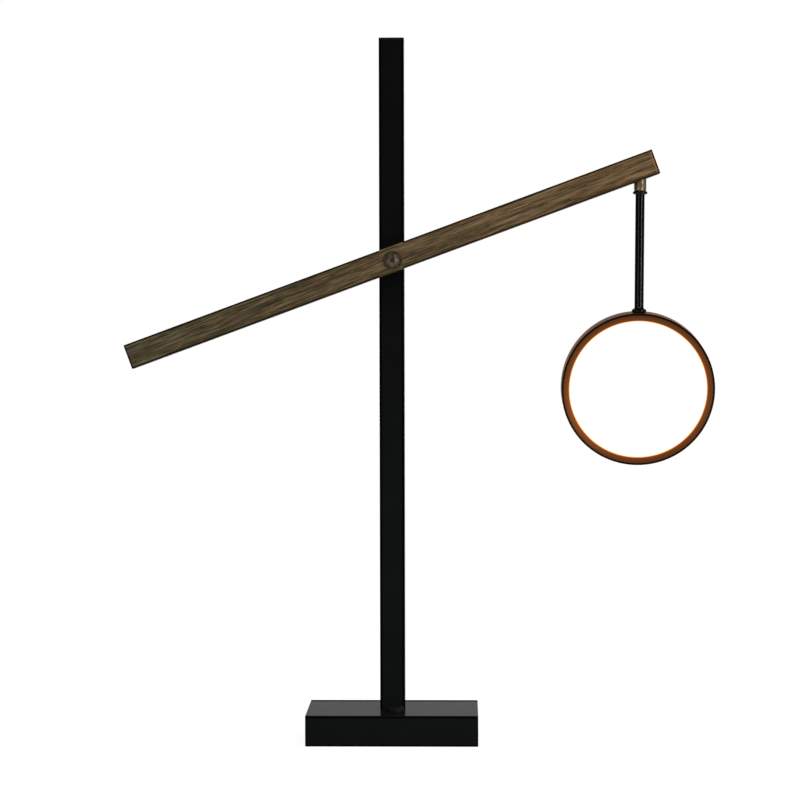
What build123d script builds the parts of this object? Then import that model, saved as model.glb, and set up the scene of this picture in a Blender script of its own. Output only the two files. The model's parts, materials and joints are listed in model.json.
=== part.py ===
from build123d import *
import os
from math import asin, cos, degrees, pi, radians, sin, sqrt, tan

# Table lamp: a low base, a square upright, a square arm that tilts on a screw at its middle,
# and a thin round light that hangs from the arm on a rod.
#
# Frame, in millimetres: the origin is the middle of the underside, +X is to the right,
# +Y to the back and +Z up. The light faces -Y. The arm is drawn at the tilt that it rests in.

# Base
base_width = 178.6
base_depth = 110.0
base_height = 32.0
pad_thickness = 1.0
pad_inset = 3.0
pad_stands_out = 0.2
shell_wall = 2.0
shell_roof = 3.0
shell_corner_radius = 1.5
shell_edge_radius = 0.8
floor_thickness = 1.5
floor_gap = 0.3
weight_gap = 0.5

# Screws of the bottom plate
floor_screw_span_x = 150.0
floor_screw_span_y = 84.0
floor_screw_radius = 1.5
floor_screw_head_radius = 2.8
floor_screw_length = 8.0
countersink_angle = 90.0

# Supply in the base
driver_length = 60.0
driver_width = 36.0
driver_height = 22.0
driver_x = -46.0
driver_y = 12.0
driver_edge_radius = 1.0
pocket_gap = 1.0

# Gland for the cord in the rear wall
gland_x = -40.0
gland_z = 15.0
gland_bore_radius = 3.4
gland_neck_radius = 5.0
gland_outer_flange_radius = 7.0
gland_outer_flange = 2.0
gland_inner_flange_radius = 6.5
gland_inner_flange = 1.5
gland_edge_radius = 0.6

# Dimmer and its knob
knob_x = 4.8
knob_from_front = 24.0
knob_radius = 7.2
knob_height = 6.2
knob_lift = 0.4
knob_edge_radius = 3.4
knob_recess_radius = 5.9
knob_recess_height = 2.8
knob_grooves = 20
knob_groove_radius = 0.35
knob_mark_length = 4.0
knob_mark_width = 0.8
knob_mark_depth = 0.4
knob_roof = 1.4
dimmer_body_radius = 8.25
dimmer_body_height = 8.5
dimmer_bush_radius = 3.5
dimmer_bush_height = 2.6
dimmer_shaft_radius = 2.5
dimmer_shaft_seat = 4.0
dimmer_nut_flats = 9.0
dimmer_nut_height = 1.8

# Upright
post_side = 26.0
post_wall = 2.0
post_corner_radius = 1.5
post_height = 700.0
post_cap_thickness = 2.0
post_cap_plug = 10.0
foot_plug_height = 20.0
plug_gap = 0.1

# Bolt that holds the upright
bolt_radius = 4.0
bolt_length = 40.0
bolt_head_flats = 13.0
bolt_head_height = 5.3
bolt_washer_radius = 8.0
bolt_washer_thickness = 1.6
bolt_head_recess = 0.4
bolt_clearance = 0.3
bolt_well_gap = 0.5

# Leads
lead_radius = 1.5
lead_hole_radius = 2.0
lead_bend_radius = 3.0
post_lead_bend_low = 30.0
post_lead_bend_high = 12.0
arm_lead_bend_near = 6.0
arm_lead_bend_far = 18.0
post_lead_x = -7.8
post_lead_start_z = 14.0
post_lead_shift_low = 32.0
post_lead_shift_high = 14.0
dimmer_lead_x = -32.0
dimmer_lead_z = 22.0
dimmer_lead_bend = 4.0
lead_trench_gap = 1.2

# Arm pivot
pivot_x = 1.7
pivot_height = 500.9
pivot_below_middle = 1.3
spindle_radius = 5.0
spindle_bore_radius = 2.2
spindle_bore_behind = 4.0
spindle_thread_tail = 1.5
spindle_slot_gap = 0.9
friction_washer_thickness = 1.2
friction_washer_radius = 11.0
spacer_radius = 7.5
rear_washer_radius = 9.0
rear_washer_thickness = 1.2
pivot_nut_flats = 16.0
pivot_nut_height = 6.0
pivot_washer_radius = 9.4
pivot_washer_thickness = 1.5
pivot_washer_edge = 0.5
pivot_screw_radius = 3.0
pivot_screw_depth = 7.0
pivot_head_radius = 7.2
pivot_head_height = 4.2
pivot_head_rim = 0.8
pivot_socket_flats = 4.6
pivot_socket_depth = 2.4
spindle_end_gap = 0.4

# Arm
arm_side = 26.0
arm_wall = 1.5
arm_corner_radius = 1.2
arm_reach_left = 291.3
arm_reach_right = 288.7
arm_angle = 20.18
arm_tilt_up = 10.0
arm_tilt_down = 30.0
arm_cap_thickness = 2.0
arm_cap_plug = 5.0
bush_radius = 7.0

# Hanger
hanger_from_end = 16.2
pendant_lean = 0.5
coupling_radius = 6.3
coupling_drop = 24.1
coupling_edge = 0.4
coupling_bore_depth = 18.0
coupling_exit_radius = 1.8
coupling_exit_below_top = 2.2
slot_gap = 0.5
cheek_gap = 0.3
bracket_wall = 1.5
hanger_pin_radius = 2.0
hanger_pin_recess = 0.3
swivel_screw_radius = 1.5
swivel_screw_above_foot = 6.5
swivel_screw_recess = 0.3
swivel_turn = 140.0
swivel_screw_bearing = 90.0

# Rod
rod_radius = 4.75
rod_wall = 1.0
rod_stop_gap = 0.3
journal_radius = 4.0
journal_length = 13.0
journal_stem = 12.0
journal_groove_depth = 0.8
journal_groove_gap = 0.2
collar_radius = 7.6
collar_shoulder_radius = 6.0
collar_height = 3.6
rod_lead_radius = 1.0
rod_lead_bore = 1.3
rod_lead_above_journal = 1.6
rod_lead_below_ball = 1.0

# Ball at the foot of the rod
ball_drop = 150.4
ball_radius = 4.0
neck_radius = 2.25
ball_stem = 11.0
ball_sink = 1.2
tilt_reach = 15.0
cap_radius = 7.5
cap_foot_radius = 6.3
cap_mouth_gap = 0.3
cap_lip_radius = 3.4
cap_bulge_height = 3.1
cap_shoulder_radius = 7.2
cap_shoulder_height = 4.2
cap_swing_margin = 0.8
cup_gap = 0.25
socket_nose_radius = 5.1
socket_nose_height = 0.9
socket_width = 16.0
socket_depth = 9.6
socket_lead_radius = 2.6

# Light
head_radius = 79.3
head_depth = 23.4
head_tilt = 7.0
head_wall = 2.0
head_back_radius = 1.5
ring_thickness = 2.0
bezel_width = 7.8
ring_front_inset = 0.3
ring_lip = 0.8
ring_skirt_wall = 0.8
ring_skirt_depth = 5.0
ring_edge_radius = 0.5
diffuser_thickness = 2.0
diffuser_gap = 0.3
reflector_inset = 6.0
reflector_wall = 0.8
reflector_notch_gap = 0.6
board_inset = 19.0
board_thickness = 1.6
board_screws_inset = 54.0
board_screw_start = 90.0
board_screws_count = 3
board_screw_radius = 1.25
board_screw_head_radius = 2.3
board_screw_head = 1.3
board_screw_bite = 1.4
chip_side = 3.5
chip_height = 0.8
chip_ring_inset = 27.0
chip_ring_step = 18.0
chip_ring_count = 3
chip_pitch = 18.0
head_lead_foot = 12.0

# Clearances
running_gap = 0.05
fixed_gap = 0.05
part_gap = 0.3

# Levels and places worked out from the sizes above
shell_foot = pad_stands_out
floor_foot = pad_thickness
floor_top = floor_foot + floor_thickness
roof_under = base_height - shell_roof
inner_width = base_width - 2 * shell_wall
inner_depth = base_depth - 2 * shell_wall
rear_face = base_depth / 2
knob_y = knob_from_front - base_depth / 2
post_inner = post_side - 2 * post_wall
post_top = base_height + post_height
driver_right = driver_x + driver_length / 2
driver_front = driver_y - driver_width / 2
driver_back = driver_y + driver_width / 2
bolt_head_z = floor_top + bolt_head_recess
bolt_washer_z = bolt_head_z + bolt_head_height
bolt_seat_z = bolt_washer_z + bolt_washer_thickness

post_front = post_side / 2
arm_back = post_front + friction_washer_thickness
arm_middle = arm_back + arm_side / 2
arm_front = arm_back + arm_side
washer_front = arm_front + pivot_washer_thickness
arm_inner = arm_side - 2 * arm_wall
arm_lead_height = arm_inner / 2 - lead_radius - fixed_gap

hanger_reach = arm_reach_right - hanger_from_end
arm_x = pivot_x - pivot_below_middle * sin(radians(arm_angle))
arm_z = pivot_height + pivot_below_middle * cos(radians(arm_angle))
hanger_x = arm_x + hanger_reach * cos(radians(arm_angle))
hanger_z = arm_z + hanger_reach * sin(radians(arm_angle))
cheek_half = coupling_radius + cheek_gap
lean_in = radians(arm_angle + arm_tilt_up + pendant_lean)
lean_out = radians(arm_tilt_down - arm_angle)
slot_in = arm_side / 2 * tan(lean_in) + coupling_radius / cos(lean_in) + slot_gap
slot_out = arm_side / 2 * tan(lean_out) + coupling_radius / cos(lean_out) + slot_gap

coupling_foot = -coupling_drop
coupling_bore_top = coupling_foot + coupling_bore_depth
rod_top = coupling_foot - rod_stop_gap
rod_inner = rod_radius - rod_wall
journal_top = rod_top + journal_length
swivel_screw_z = coupling_foot + swivel_screw_above_foot
ball_z = -ball_drop
cup_radius = cap_radius + cup_gap
mouth_angle = radians(tilt_reach) + asin(neck_radius / cap_radius)
cap_mouth_radius = cap_radius * sin(mouth_angle) + cap_mouth_gap
cap_mouth_height = sqrt(cap_radius**2 - cap_mouth_radius**2)
cap_edge_angle = asin(rod_radius / cup_radius) + radians(tilt_reach + cap_swing_margin)
ball_seat = ball_radius + running_gap
lip_height = sqrt(ball_seat**2 - cap_lip_radius**2)

head_back = -head_depth / 2
head_front = head_depth / 2
housing_front = head_front - ring_thickness
housing_floor = head_back + head_wall
housing_inner = head_radius - head_wall
lip_back = housing_front - ring_lip
diffuser_back = lip_back - diffuser_thickness
skirt_radius = housing_inner - fixed_gap
board_front = housing_floor + board_thickness
ring_opening_radius = head_radius - bezel_width
ring_front_radius = head_radius - ring_front_inset
reflector_radius = head_radius - reflector_inset
board_radius = head_radius - board_inset
board_screw_circle = head_radius - board_screws_inset

# Planes. The pivot plane's distances run forward, the arm section's run along the arm, and the
# pendant's run up its own axis from the pin that it hangs on, with a slight lean to the left.
forward = (0, -1, 0)
across = (1, 0, 0)
lean = radians(pendant_lean)
pendant_across = Vector(cos(lean), 0, -sin(lean))
pendant_up = Vector(sin(lean), 0, cos(lean))
along_arm = (cos(radians(arm_angle)), 0, sin(radians(arm_angle)))
pivot_plane = Plane(origin=(pivot_x, 0, pivot_height), x_dir=across, z_dir=forward)
arm_plane = Plane(origin=(arm_x, -arm_middle, arm_z), x_dir=along_arm, z_dir=forward)
bush_plane = Plane(origin=(pivot_x, -arm_middle, pivot_height), x_dir=along_arm, z_dir=forward)
arm_section = Plane(origin=arm_plane.origin, x_dir=(0, 1, 0), z_dir=along_arm)
pin_plane = Plane(origin=(hanger_x, -arm_middle, hanger_z), x_dir=across, z_dir=forward)
pendant_plane = Plane(origin=pin_plane.origin, x_dir=pendant_across, z_dir=pendant_up)
pendant_axis = Axis(pin_plane.origin, pendant_up)
knob_plane = Plane(origin=(knob_x, knob_y, 0), x_dir=across, z_dir=(0, 0, 1))
gland_plane = Plane(origin=(gland_x, rear_face, gland_z), x_dir=(-1, 0, 0), z_dir=(0, 1, 0))

tilt = radians(head_tilt)
head_normal = Vector(*forward) * cos(tilt) - pendant_up * sin(tilt)
head_up = pendant_up * cos(tilt) + Vector(*forward) * sin(tilt)
ball_centre = pin_plane.origin + pendant_up * ball_z
ball_to_middle = head_radius - ball_sink
head_centre = ball_centre - head_up * ball_to_middle
ball_plane = Plane(origin=ball_centre, x_dir=pendant_across, z_dir=head_normal)
neck_plane = Plane(origin=ball_centre, x_dir=pendant_across, z_dir=head_up)
head_plane = Plane(origin=head_centre, x_dir=pendant_across, z_dir=head_normal)


def bar(plane, start, end, radius, mode=Mode.ADD):
    """A round bar along the plane's normal, between two distances from the plane."""
    with BuildSketch(plane.offset(start)) as face:
        Circle(radius)
    extrude(face.sketch, amount=end - start, mode=mode)


def block(plane, start, end, low, high, mode=Mode.ADD):
    """A box along the plane's normal, between two corners of its outline."""
    with BuildSketch(plane.offset(start)) as face:
        with Locations(((low[0] + high[0]) / 2, (low[1] + high[1]) / 2)):
            Rectangle(high[0] - low[0], high[1] - low[1])
    extrude(face.sketch, amount=end - start, mode=mode)


def hexagon(plane, start, end, flats, mode=Mode.ADD):
    """A hexagonal bar along the plane's normal, sized across its flats."""
    with BuildSketch(plane.offset(start)) as face:
        RegularPolygon(flats / 2, 6, major_radius=False)
    extrude(face.sketch, amount=end - start, mode=mode)


def turned(plane, outline, mode=Mode.ADD):
    """A solid turned about the plane's own y axis from an outline of (radius, height)."""
    with BuildSketch(plane) as face:
        with BuildLine():
            Polyline(*outline, close=True)
        make_face()
    revolve(face.sketch, axis=Axis(plane.origin, plane.y_dir), mode=mode)


def lead(points, radii, radius):
    """A round lead along straight runs joined by arcs."""
    with BuildLine() as route:
        FilletPolyline(*points, radius=radii)
    start = Vector(*points[0])
    with BuildSketch(Plane(origin=start, z_dir=Vector(*points[1]) - start)) as face:
        Circle(radius)
    sweep(face.sketch, path=route.wires()[0])


# Base: shell
with BuildPart() as base_shell:
    with BuildSketch(Plane.XY.offset(shell_foot)):
        RectangleRounded(base_width, base_depth, shell_corner_radius)
    extrude(amount=base_height - shell_foot)
    fillet(base_shell.faces().sort_by(Axis.Z)[-1].edges(), shell_edge_radius)
    with BuildSketch(Plane.XY.offset(shell_foot)):
        Rectangle(inner_width, inner_depth)
    extrude(amount=roof_under - shell_foot, mode=Mode.SUBTRACT)
    bar(Plane.XY, roof_under, base_height, bolt_radius + bolt_clearance, Mode.SUBTRACT)
    bar(knob_plane, roof_under, base_height, dimmer_bush_radius + fixed_gap, Mode.SUBTRACT)
    with BuildSketch(Plane.XY.offset(roof_under)):
        with Locations((post_lead_x, 0)):
            Circle(lead_hole_radius)
    extrude(amount=shell_roof, mode=Mode.SUBTRACT)
    bar(gland_plane, -shell_wall, 0, gland_neck_radius, Mode.SUBTRACT)
base_shell.part.label = "base_shell"
export_step(base_shell.part, "parts/base_shell.step")

# Base: weight, with one open pocket for the supply, the dimmer and the leads between them
weight_width = inner_width - 2 * weight_gap
weight_depth = inner_depth - 2 * weight_gap
trench_half = lead_radius + lead_trench_gap
driver_pocket_low = (driver_x - driver_length / 2 - pocket_gap, driver_front - pocket_gap)
driver_pocket_high = (driver_right + pocket_gap, driver_back + pocket_gap)
gland_pocket_half = gland_inner_flange_radius + pocket_gap
with BuildPart() as base_weight:
    with BuildSketch(Plane.XY.offset(floor_top)):
        Rectangle(weight_width, weight_depth)
    extrude(amount=roof_under - floor_top)
    block(Plane.XY, floor_top, roof_under, driver_pocket_low, driver_pocket_high, Mode.SUBTRACT)
    gland_pocket_low = (gland_x - gland_pocket_half, driver_y)
    gland_pocket_high = (gland_x + gland_pocket_half, rear_face)
    block(Plane.XY, floor_top, roof_under, gland_pocket_low, gland_pocket_high, Mode.SUBTRACT)
    bar(knob_plane, floor_top, roof_under, dimmer_body_radius + pocket_gap, Mode.SUBTRACT)
    trench_low = (dimmer_lead_x - trench_half, knob_y - trench_half)
    trench_bend = (dimmer_lead_x + trench_half, driver_y)
    trench_high = (knob_x, knob_y + trench_half)
    block(Plane.XY, floor_top, roof_under, trench_low, trench_bend, Mode.SUBTRACT)
    block(Plane.XY, floor_top, roof_under, trench_low, trench_high, Mode.SUBTRACT)
    bar(Plane.XY, floor_top, roof_under, bolt_radius + bolt_clearance, Mode.SUBTRACT)
    bar(Plane.XY, floor_top, bolt_seat_z, bolt_washer_radius + bolt_well_gap, Mode.SUBTRACT)
    channel_low = (driver_right - pocket_gap, -lead_hole_radius)
    channel_high = (post_lead_x + lead_hole_radius, lead_hole_radius)
    channel_foot = post_lead_start_z - lead_hole_radius
    block(Plane.XY, channel_foot, roof_under, channel_low, channel_high, Mode.SUBTRACT)
    with BuildSketch(Plane.XY.offset(floor_top)):
        with GridLocations(floor_screw_span_x, floor_screw_span_y, 2, 2):
            Circle(floor_screw_radius + fixed_gap)
    extrude(amount=floor_screw_length, mode=Mode.SUBTRACT)
base_weight.part.label = "base_weight"
export_step(base_weight.part, "parts/base_weight.step")

# Base: bottom plate, its screws and the pad
screw_head_height = floor_screw_head_radius - floor_screw_radius
with BuildPart() as bottom_plate:
    with BuildSketch(Plane.XY.offset(floor_foot)):
        Rectangle(inner_width - 2 * floor_gap, inner_depth - 2 * floor_gap)
    extrude(amount=floor_thickness)
    with Locations(Plane(origin=(0, 0, floor_foot), x_dir=(1, 0, 0), z_dir=(0, 0, -1))):
        with GridLocations(floor_screw_span_x, floor_screw_span_y, 2, 2):
            CounterSinkHole(
                floor_screw_radius + fixed_gap,
                floor_screw_head_radius + fixed_gap,
                counter_sink_angle=countersink_angle,
            )
bottom_plate.part.label = "bottom_plate"
export_step(bottom_plate.part, "parts/bottom_plate.step")

with BuildPart() as bottom_screws:
    for x in (-floor_screw_span_x / 2, floor_screw_span_x / 2):
        for y in (-floor_screw_span_y / 2, floor_screw_span_y / 2):
            turned(
                Plane(origin=(x, y, floor_foot), x_dir=across, z_dir=forward),
                [
                    (0, 0),
                    (floor_screw_head_radius, 0),
                    (floor_screw_radius, screw_head_height),
                    (floor_screw_radius, floor_screw_length),
                    (0, floor_screw_length),
                ],
            )
bottom_screws.part.label = "bottom_screws"
export_step(bottom_screws.part, "parts/bottom_screws.step")

with BuildPart() as base_pad:
    with BuildSketch(Plane.XY):
        Rectangle(base_width - 2 * pad_inset, base_depth - 2 * pad_inset)
    extrude(amount=pad_thickness)
base_pad.part.label = "base_pad"
export_step(base_pad.part, "parts/base_pad.step")

# Base: gland in the rear wall
with BuildPart() as cord_grommet:
    bar(gland_plane, 0, gland_outer_flange, gland_outer_flange_radius)
    fillet(cord_grommet.faces().sort_by(Axis.Y)[-1].edges(), gland_edge_radius)
    bar(gland_plane, -shell_wall, 0, gland_neck_radius)
    inner_flange_end = -shell_wall - gland_inner_flange
    bar(gland_plane, inner_flange_end, -shell_wall, gland_inner_flange_radius)
    bar(gland_plane, inner_flange_end, gland_outer_flange, gland_bore_radius, Mode.SUBTRACT)
cord_grommet.part.label = "cord_grommet"
export_step(cord_grommet.part, "parts/cord_grommet.step")

# Base: supply
with BuildPart() as led_driver:
    with BuildSketch(Plane.XY.offset(floor_top)):
        with Locations((driver_x, driver_y)):
            Rectangle(driver_length, driver_width)
    extrude(amount=driver_height)
    fillet(led_driver.edges().filter_by(Axis.Z), driver_edge_radius)
led_driver.part.label = "led_driver"
export_step(led_driver.part, "parts/led_driver.step")

# Dimmer under the roof, with its threaded bush through it
shaft_foot = roof_under - dimmer_shaft_seat
bush_top = base_height + dimmer_bush_height
with BuildPart() as dimmer_body:
    bar(knob_plane, roof_under - dimmer_body_height, roof_under, dimmer_body_radius)
    bar(knob_plane, roof_under, bush_top, dimmer_bush_radius)
    shaft_hole = dimmer_shaft_radius + running_gap
    bar(knob_plane, shaft_foot - part_gap, bush_top, shaft_hole, Mode.SUBTRACT)
dimmer_body.part.label = "dimmer_body"
export_step(dimmer_body.part, "parts/dimmer_body.step")

with BuildPart() as dimmer_nut:
    nut_top = base_height + dimmer_nut_height
    hexagon(knob_plane, base_height, nut_top, dimmer_nut_flats)
    bar(knob_plane, base_height, nut_top, dimmer_bush_radius + fixed_gap, Mode.SUBTRACT)
dimmer_nut.part.label = "dimmer_nut"
export_step(dimmer_nut.part, "parts/dimmer_nut.step")

# Knob and its shaft
knob_foot = base_height + knob_lift
knob_top = knob_foot + knob_height
shaft_top = knob_top - knob_roof
with BuildPart() as dimmer_knob:
    bar(knob_plane, knob_foot, knob_top, knob_radius)
    fillet(dimmer_knob.faces().sort_by(Axis.Z)[-1].edges(), knob_edge_radius)
    recess_top = knob_foot + knob_recess_height
    bar(knob_plane, knob_foot, recess_top, knob_recess_radius, Mode.SUBTRACT)
    bar(knob_plane, recess_top, shaft_top, dimmer_shaft_radius, Mode.SUBTRACT)
    with BuildSketch(knob_plane.offset(knob_foot)):
        with PolarLocations(knob_radius, knob_grooves):
            Circle(knob_groove_radius)
    extrude(amount=knob_height - knob_edge_radius, mode=Mode.SUBTRACT)
    mark_low = (-knob_mark_width / 2, knob_radius - knob_edge_radius - knob_mark_length)
    mark_high = (knob_mark_width / 2, knob_radius - knob_edge_radius)
    block(knob_plane, knob_top - knob_mark_depth, knob_top, mark_low, mark_high, Mode.SUBTRACT)
dimmer_knob.part.label = "dimmer_knob"
export_step(dimmer_knob.part, "parts/dimmer_knob.step")

with BuildPart() as dimmer_shaft:
    bar(knob_plane, shaft_foot, shaft_top, dimmer_shaft_radius)
dimmer_shaft.part.label = "dimmer_shaft"
export_step(dimmer_shaft.part, "parts/dimmer_shaft.step")

# Lead from the supply to the dimmer
with BuildPart() as dimmer_lead:
    lead(
        [
            (dimmer_lead_x, driver_front, dimmer_lead_z),
            (dimmer_lead_x, knob_y, dimmer_lead_z),
            (knob_x - dimmer_body_radius, knob_y, dimmer_lead_z),
        ],
        dimmer_lead_bend,
        lead_radius,
    )
dimmer_lead.part.label = "dimmer_lead"
export_step(dimmer_lead.part, "parts/dimmer_lead.step")

# Upright: tube, cap and foot plug
with BuildPart() as post_tube:
    with BuildSketch(Plane.XY.offset(base_height)):
        RectangleRounded(post_side, post_side, post_corner_radius)
        Rectangle(post_inner, post_inner, mode=Mode.SUBTRACT)
    extrude(amount=post_height - post_cap_thickness)
    bar(pivot_plane, -post_side, post_side, spindle_radius + fixed_gap, Mode.SUBTRACT)
post_tube.part.label = "post_tube"
export_step(post_tube.part, "parts/post_tube.step")

plug_side = post_inner - 2 * plug_gap
with BuildPart() as post_cap:
    with BuildSketch(Plane.XY.offset(post_top - post_cap_thickness)):
        RectangleRounded(post_side, post_side, post_corner_radius)
    extrude(amount=post_cap_thickness)
    with BuildSketch(Plane.XY.offset(post_top - post_cap_thickness)):
        Rectangle(plug_side, plug_side)
    extrude(amount=-post_cap_plug)
post_cap.part.label = "post_cap"
export_step(post_cap.part, "parts/post_cap.step")

bolt_top = bolt_washer_z + bolt_length
with BuildPart() as post_foot_plug:
    with BuildSketch(Plane.XY.offset(base_height)):
        Rectangle(plug_side, plug_side)
        with Locations((post_lead_x, 0)):
            Circle(lead_hole_radius, mode=Mode.SUBTRACT)
    extrude(amount=foot_plug_height)
    bar(Plane.XY, base_height, bolt_top + part_gap, bolt_radius + fixed_gap, Mode.SUBTRACT)
post_foot_plug.part.label = "post_foot_plug"
export_step(post_foot_plug.part, "parts/post_foot_plug.step")

# Bolt and washer under the upright
with BuildPart() as post_bolt:
    hexagon(Plane.XY, bolt_head_z, bolt_washer_z, bolt_head_flats)
    bar(Plane.XY, bolt_washer_z, bolt_top, bolt_radius)
post_bolt.part.label = "post_bolt"
export_step(post_bolt.part, "parts/post_bolt.step")

with BuildPart() as post_bolt_washer:
    bar(Plane.XY, bolt_washer_z, bolt_seat_z, bolt_washer_radius)
    bar(Plane.XY, bolt_washer_z, bolt_seat_z, bolt_radius + fixed_gap, Mode.SUBTRACT)
post_bolt_washer.part.label = "post_bolt_washer"
export_step(post_bolt_washer.part, "parts/post_bolt_washer.step")

# Lead from the supply up the tube and into the spindle
with BuildPart() as post_lead:
    lead(
        [
            (driver_right, 0, post_lead_start_z),
            (post_lead_x, 0, post_lead_start_z),
            (post_lead_x, 0, pivot_height - post_lead_shift_low),
            (pivot_x, 0, pivot_height - post_lead_shift_high),
            (pivot_x, 0, pivot_height),
            (pivot_x, -arm_back + part_gap / 2, pivot_height),
        ],
        [lead_bend_radius, post_lead_bend_low, post_lead_bend_high, lead_bend_radius],
        lead_radius,
    )
post_lead.part.label = "post_lead"
export_step(post_lead.part, "parts/post_lead.step")

# Pivot: hollow spindle, with one slot for the lead inside the post and one inside the arm
lead_slot_half = lead_radius + spindle_slot_gap
lead_slot_front = lead_bend_radius + lead_slot_half
arm_slot_back = arm_middle - lead_bend_radius - fixed_gap
arm_slot_front = arm_middle + lead_slot_half
spindle_back = -post_front - rear_washer_thickness - pivot_nut_height - spindle_thread_tail
spindle_front = arm_front - spindle_end_gap
screw_hole_back = spindle_front - pivot_screw_depth
middle_of_swing = arm_angle + (arm_tilt_up - arm_tilt_down) / 2
with BuildPart() as pivot_spindle:
    bar(pivot_plane, spindle_back, spindle_front, spindle_radius)
    bar(pivot_plane, -spindle_bore_behind, spindle_front, spindle_bore_radius, Mode.SUBTRACT)
    bar(pivot_plane, screw_hole_back, spindle_front, pivot_screw_radius, Mode.SUBTRACT)
    block(
        pivot_plane,
        -lead_slot_half,
        lead_slot_front,
        (-lead_slot_half, -spindle_radius),
        (lead_slot_half, 0),
        Mode.SUBTRACT,
    )
    block(
        Plane(
            origin=pivot_plane.origin,
            x_dir=(cos(radians(middle_of_swing)), 0, sin(radians(middle_of_swing))),
            z_dir=forward,
        ),
        arm_slot_back,
        arm_slot_front,
        (0, -spindle_radius),
        (spindle_radius, spindle_radius),
        Mode.SUBTRACT,
    )
pivot_spindle.part.label = "pivot_spindle"
export_step(pivot_spindle.part, "parts/pivot_spindle.step")

with BuildPart() as spindle_spacer:
    bar(pivot_plane, -post_inner / 2, post_inner / 2, spacer_radius)
    spacer_hole = spindle_radius + fixed_gap
    bar(pivot_plane, -post_inner / 2, post_inner / 2, spacer_hole, Mode.SUBTRACT)
    block(
        pivot_plane,
        -lead_slot_half,
        lead_slot_front,
        (-lead_slot_half, -spacer_radius),
        (lead_slot_half, 0),
        Mode.SUBTRACT,
    )
spindle_spacer.part.label = "spindle_spacer"
export_step(spindle_spacer.part, "parts/spindle_spacer.step")

# Pivot: washers, nut and screw
with BuildPart() as friction_washer:
    bar(pivot_plane, post_front, arm_back, friction_washer_radius)
    bar(pivot_plane, post_front, arm_back, spindle_radius + fixed_gap, Mode.SUBTRACT)
friction_washer.part.label = "friction_washer"
export_step(friction_washer.part, "parts/friction_washer.step")

rear_washer_back = -post_front - rear_washer_thickness
with BuildPart() as rear_washer:
    bar(pivot_plane, rear_washer_back, -post_front, rear_washer_radius)
    bar(pivot_plane, rear_washer_back, -post_front, spindle_radius + fixed_gap, Mode.SUBTRACT)
rear_washer.part.label = "rear_washer"
export_step(rear_washer.part, "parts/rear_washer.step")

with BuildPart() as pivot_nut:
    nut_back = rear_washer_back - pivot_nut_height
    hexagon(pivot_plane, nut_back, rear_washer_back, pivot_nut_flats)
    bar(pivot_plane, nut_back, rear_washer_back, spindle_radius + fixed_gap, Mode.SUBTRACT)
pivot_nut.part.label = "pivot_nut"
export_step(pivot_nut.part, "parts/pivot_nut.step")

with BuildPart() as pivot_washer:
    bar(pivot_plane, arm_front, washer_front, pivot_washer_radius)
    fillet(pivot_washer.faces().sort_by(Axis.Y)[0].edges(), pivot_washer_edge)
    bar(pivot_plane, arm_front, washer_front, pivot_screw_radius + fixed_gap, Mode.SUBTRACT)
pivot_washer.part.label = "pivot_washer"
export_step(pivot_washer.part, "parts/pivot_washer.step")

head_top = washer_front + pivot_head_height
dome_start = washer_front + pivot_head_rim
dome_height = pivot_head_height - pivot_head_rim
dome_radius = (pivot_head_radius**2 + dome_height**2) / (2 * dome_height)
dome_middle = head_top - dome_radius + sqrt(dome_radius**2 - (pivot_head_radius / 2) ** 2)
with BuildPart() as pivot_screw:
    bar(pivot_plane, screw_hole_back + part_gap, washer_front, pivot_screw_radius - fixed_gap)
    with BuildSketch(Plane(origin=pivot_plane.origin, x_dir=forward, z_dir=(1, 0, 0))):
        with BuildLine():
            Polyline(
                (head_top, 0),
                (washer_front, 0),
                (washer_front, pivot_head_radius),
                (dome_start, pivot_head_radius),
            )
            ThreePointArc(
                (dome_start, pivot_head_radius),
                (dome_middle, pivot_head_radius / 2),
                (head_top, 0),
            )
        make_face()
    revolve(axis=Axis(pivot_plane.origin, forward))
    socket_back = head_top - pivot_socket_depth
    hexagon(pivot_plane, socket_back, head_top, pivot_socket_flats, Mode.SUBTRACT)
pivot_screw.part.label = "pivot_screw"
export_step(pivot_screw.part, "parts/pivot_screw.step")

# Arm: tube
tube_left = arm_cap_thickness - arm_reach_left
tube_right = arm_reach_right - arm_cap_thickness
slot_low = hanger_reach - slot_in
slot_high = hanger_reach + slot_out
with BuildPart() as arm_tube:
    with BuildSketch(arm_section.offset(tube_left)):
        RectangleRounded(arm_side, arm_side, arm_corner_radius)
        Rectangle(arm_inner, arm_inner, mode=Mode.SUBTRACT)
    extrude(amount=tube_right - tube_left)
    bar(bush_plane, -arm_side, arm_side, bush_radius, Mode.SUBTRACT)
    block(
        arm_plane,
        -cheek_half,
        cheek_half,
        (slot_low, -arm_side / 2),
        (slot_high, -arm_inner / 2),
        Mode.SUBTRACT,
    )
    with BuildSketch(arm_plane.offset(-arm_side / 2)):
        with Locations((hanger_reach, 0)):
            Circle(hanger_pin_radius + fixed_gap)
    extrude(amount=arm_wall, mode=Mode.SUBTRACT)
arm_tube.part.label = "arm_tube"
export_step(arm_tube.part, "parts/arm_tube.step")

# Arm: end caps
arm_plug_side = arm_inner - 2 * plug_gap
with BuildPart() as arm_cap_left:
    with BuildSketch(arm_section.offset(tube_left)):
        RectangleRounded(arm_side, arm_side, arm_corner_radius)
    extrude(amount=-arm_cap_thickness)
    with BuildSketch(arm_section.offset(tube_left)):
        Rectangle(arm_plug_side, arm_plug_side)
    extrude(amount=arm_cap_plug)
arm_cap_left.part.label = "arm_cap_left"
export_step(arm_cap_left.part, "parts/arm_cap_left.step")

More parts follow.
